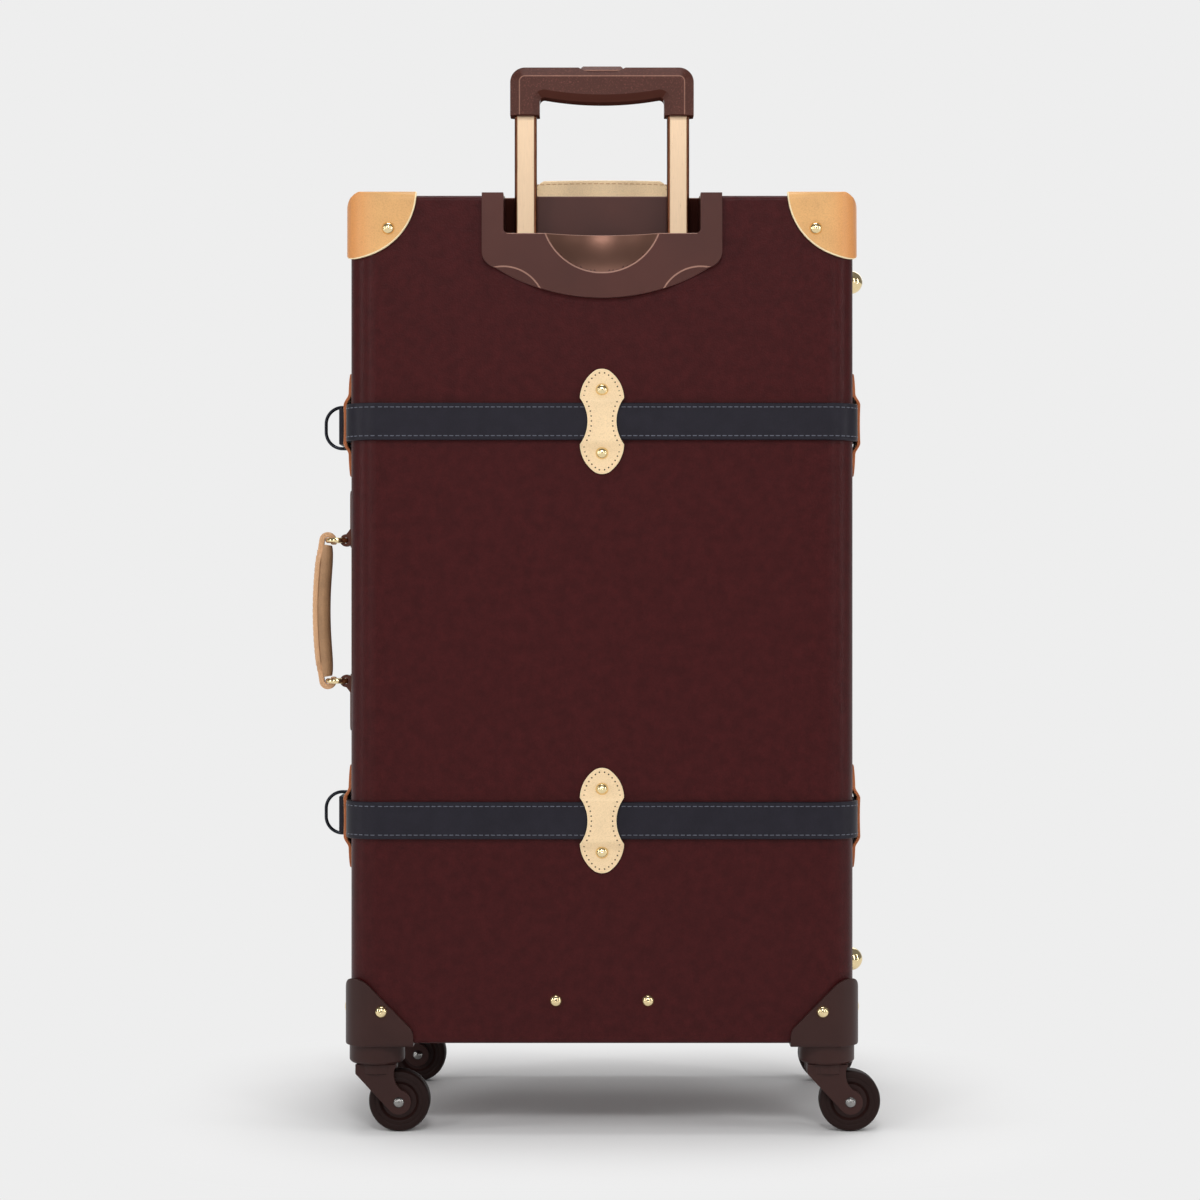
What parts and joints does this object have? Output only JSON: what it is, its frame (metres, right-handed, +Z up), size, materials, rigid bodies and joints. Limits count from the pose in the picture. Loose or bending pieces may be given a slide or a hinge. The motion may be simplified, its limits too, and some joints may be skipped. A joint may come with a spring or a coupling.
{
  "type": "spinner suitcase",
  "caption": "Upright trunk-style spinner suitcase: leather-trimmed clamshell with straps, carry handles, extending trolley and swivelling casters.",
  "frame": {"origin": "on the floor under the middle of the closed case", "axes": "+Z up; the trolley side faces -Y, the lid faces +Y; the side carry handle is on -X and the hinges on +X"},
  "size_m": [0.468, 0.287, 0.8683],
  "materials": {
    "burgundy_cover": "fine grained leatherette with a soft sheen",
    "navy_leather": "smooth, stitched along both edges",
    "tan_leather": "waxed tan leather with perforated edges",
    "brown_leather": "smooth dark brown leather",
    "brown_plastic": "moulded, satin",
    "grip_plastic": "metallic speckled brown",
    "wheel_rubber": "dark brown tread, moulded hub",
    "lining": "woven lining",
    "brass": "polished antique brass",
    "steel": "plated",
    "black_metal": "polished black",
    "gold_aluminium": "champagne gold, brushed along the tube",
    "aluminium": "mill finish"
  },
  "bodies": {
    "tray": {"tray_shell": "burgundy_cover", "tray_rim": "brown_plastic", "tray_lining": "lining", "tray_rivets": "brass", "trolley_recess": "brown_plastic", "guide_tubes": "aluminium", "trolley_foot_bracket": "brown_plastic", "trolley_foot_screws": "brass", "corner_caps_back": "tan_leather", "swivel_pins_back": "steel", "strap_upper_back": "navy_leather", "strap_lower_back": "navy_leather", "strap_keepers_back": "tan_leather", "side_feet_back": "brass", "side_handle_tabs": "brown_leather", "top_handle_tabs": "brown_leather", "hinge_leaves_tray": "brass", "hinge_pins": "steel", "latch_cases": "brass", "wheel_bracket_back_left": "brown_plastic", "wheel_bracket_back_right": "brown_plastic"},
    "lid": {"lid_shell": "burgundy_cover", "lid_rim": "brown_plastic", "lid_lining": "lining", "lid_rivets": "brass", "corner_caps_front": "tan_leather", "swivel_pins_front": "steel", "strap_upper_front": "navy_leather", "strap_lower_front": "navy_leather", "strap_keepers_front": "tan_leather", "side_feet_front": "brass", "hinge_leaves_lid": "brass", "latch_tongues": "brass", "wheel_bracket_front_left": "brown_plastic", "wheel_bracket_front_right": "brown_plastic"},
    "trolley": {"trolley_grip": "grip_plastic", "trolley_tubes": "gold_aluminium", "tube_sliders": "brown_plastic"},
    "release": {"release_button": "grip_plastic", "release_yoke": "steel"},
    "side_handle": {"side_handle_grip": "tan_leather", "side_handle_rings": "brass"},
    "top_handle": {"top_handle_grip": "tan_leather", "top_handle_rings": "brass"},
    "d_ring_upper": {"d_ring_upper": "black_metal"},
    "d_ring_lower": {"d_ring_lower": "black_metal"},
    "latch_button_upper": {"latch_button_upper": "brass"},
    "latch_button_lower": {"latch_button_lower": "brass"},
    "caster_back_left": {"fork_back_left": "brown_plastic", "axle_back_left": "steel"},
    "wheel_back_left": {"wheel_back_left": "wheel_rubber"},
    "caster_back_right": {"fork_back_right": "brown_plastic", "axle_back_right": "steel"},
    "wheel_back_right": {"wheel_back_right": "wheel_rubber"},
    "caster_front_left": {"fork_front_left": "brown_plastic", "axle_front_left": "steel"},
    "wheel_front_left": {"wheel_front_left": "wheel_rubber"},
    "caster_front_right": {"fork_front_right": "brown_plastic", "axle_front_right": "steel"},
    "wheel_front_right": {"wheel_front_right": "wheel_rubber"}
  },
  "joints": [
    {"name": "lid_hinge", "type": "hinge", "parent": "tray", "child": "lid", "pos_m": [0.2086, 0.015, 0.417], "axis": [0, 0, -1], "range_deg": [0, 100]},
    {"name": "trolley_slide", "type": "slide", "parent": "tray", "child": "trolley", "axis": [0, 0, 1], "range_m": [-0.0965, 0.23]},
    {"name": "release_press", "type": "slide", "parent": "trolley", "child": "release", "axis": [0, 0, -1], "range_m": [0, 0.0035], "stiffness_N_per_m": 400, "springref_m": -0.01},
    {"name": "side_handle_swing", "type": "hinge", "parent": "tray", "child": "side_handle", "pos_m": [-0.221, -0.069, 0.4251], "axis": [0, 0, 1], "range_deg": [-80, 80]},
    {"name": "top_handle_swing", "type": "hinge", "parent": "tray", "child": "top_handle", "pos_m": [0, -0.04, 0.775], "axis": [-1, 0, 0], "range_deg": [0, 170]},
    {"name": "d_ring_upper_swing", "type": "hinge", "parent": "tray", "child": "d_ring_upper", "pos_m": [-0.20915, -0.055, 0.5785], "axis": [0, 0, 1], "range_deg": [-40, 40]},
    {"name": "d_ring_lower_swing", "type": "hinge", "parent": "tray", "child": "d_ring_lower", "pos_m": [-0.20915, -0.055, 0.2555], "axis": [0, 0, 1], "range_deg": [-40, 40]},
    {"name": "latch_upper_slide", "type": "slide", "parent": "tray", "child": "latch_button_upper", "axis": [0, 0, 1], "range_m": [0, 0.006], "stiffness_N_per_m": 100, "springref_m": -0.004},
    {"name": "latch_lower_slide", "type": "slide", "parent": "tray", "child": "latch_button_lower", "axis": [0, 0, 1], "range_m": [0, 0.006], "stiffness_N_per_m": 100, "springref_m": -0.004},
    {"name": "swivel_back_left", "type": "hinge", "parent": "tray", "child": "caster_back_left", "pos_m": [-0.184, -0.111, 0.05], "axis": [0, 0, 1], "continuous": true},
    {"name": "roll_back_left", "type": "hinge", "parent": "caster_back_left", "child": "wheel_back_left", "pos_m": [-0.1655, -0.111, 0.025], "axis": [0, 1, 0], "continuous": true},
    {"name": "swivel_back_right", "type": "hinge", "parent": "tray", "child": "caster_back_right", "pos_m": [0.184, -0.111, 0.05], "axis": [0, 0, 1], "continuous": true},
    {"name": "roll_back_right", "type": "hinge", "parent": "caster_back_right", "child": "wheel_back_right", "pos_m": [0.2025, -0.111, 0.025], "axis": [0, 1, 0], "continuous": true},
    {"name": "swivel_front_left", "type": "hinge", "parent": "lid", "child": "caster_front_left", "pos_m": [-0.184, 0.111, 0.05], "axis": [0, 0, 1], "continuous": true},
    {"name": "roll_front_left", "type": "hinge", "parent": "caster_front_left", "child": "wheel_front_left", "pos_m": [-0.1655, 0.111, 0.025], "axis": [0, 1, 0], "continuous": true},
    {"name": "swivel_front_right", "type": "hinge", "parent": "lid", "child": "caster_front_right", "pos_m": [0.184, 0.111, 0.05], "axis": [0, 0, 1], "continuous": true},
    {"name": "roll_front_right", "type": "hinge", "parent": "caster_front_right", "child": "wheel_front_right", "pos_m": [0.2025, 0.111, 0.025], "axis": [0, 1, 0], "continuous": true}
  ]
}
